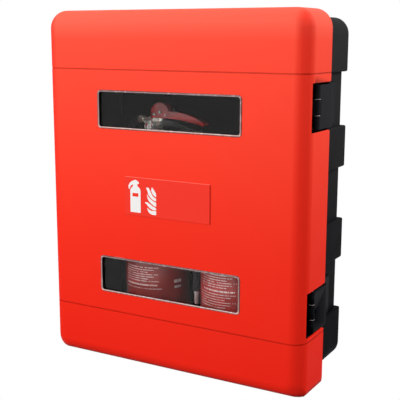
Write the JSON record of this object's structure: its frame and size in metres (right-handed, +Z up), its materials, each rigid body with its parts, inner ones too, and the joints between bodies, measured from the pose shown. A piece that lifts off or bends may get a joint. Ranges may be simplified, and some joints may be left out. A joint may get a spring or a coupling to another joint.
{
  "type": "wall cabinet for two fire extinguishers",
  "caption": "Wall-hung moulded cabinet with a hinged windowed door, holding a pair of portable extinguishers.",
  "frame": {"origin": "centre of the flat back face, which meets the wall", "axes": "+Z up; the cabinet faces -Y, and the wall is on its +Y side; +X is to the right seen from the front"},
  "size_m": [0.671, 0.27, 0.834],
  "materials": {
    "body_black": "fine moulded texture, satin",
    "door_red": "smooth moulded plastic, semi-gloss",
    "sign_red": "printed plate, satin",
    "clear_pane": "clear moulded plastic, polished",
    "hinge_black": "moulded plastic, satin",
    "pin_steel": "ground steel rod",
    "bottle_red": "gloss enamel",
    "foot_black": "moulded plastic",
    "valve_chrome": "nickel plated brass",
    "gauge_metal": "plated case, plain dial",
    "lever_red": "gloss enamel",
    "handle_black": "gloss enamel",
    "hose_rubber": "smooth rubber",
    "nozzle_metal": "turned, satin",
    "bracket_steel": "powder coat"
  },
  "bodies": {
    "cabinet": {"body_tub": "body_black", "hinge_arm_upper": "hinge_black", "hinge_pin_upper": "pin_steel", "keeper_upper": "hinge_black", "hinge_arm_lower": "hinge_black", "hinge_pin_lower": "pin_steel", "keeper_lower": "hinge_black", "bottle_left": "bottle_red", "base_ring_left": "foot_black", "valve_left": "valve_chrome", "gauge_left": "gauge_metal", "lever_left": "lever_red", "carry_handle_left": "handle_black", "hose_left": "hose_rubber", "nozzle_left": "nozzle_metal", "bracket_left": "bracket_steel", "safety_pin_left": "pin_steel", "hose_clip_left": "hinge_black", "cradle_left": "body_black", "bottle_right": "bottle_red", "base_ring_right": "foot_black", "valve_right": "valve_chrome", "gauge_right": "gauge_metal", "lever_right": "lever_red", "carry_handle_right": "handle_black", "hose_right": "hose_rubber", "nozzle_right": "nozzle_metal", "bracket_right": "bracket_steel", "safety_pin_right": "pin_steel", "hose_clip_right": "hinge_black", "cradle_right": "body_black"},
    "door": {"door_shell": "door_red", "sign_plate": "sign_red", "window_pane_upper": "clear_pane", "window_frame_upper": "hinge_black", "door_knuckle_upper": "hinge_black", "catch_upper": "hinge_black", "window_pane_lower": "clear_pane", "window_frame_lower": "hinge_black", "door_knuckle_lower": "hinge_black", "catch_lower": "hinge_black"}
  },
  "joints": [
    {"name": "door_hinge", "type": "hinge", "parent": "cabinet", "child": "door", "pos_m": [0.3285, -0.203, 0], "axis": [0, 0, 1], "range_deg": [0, 120]}
  ]
}
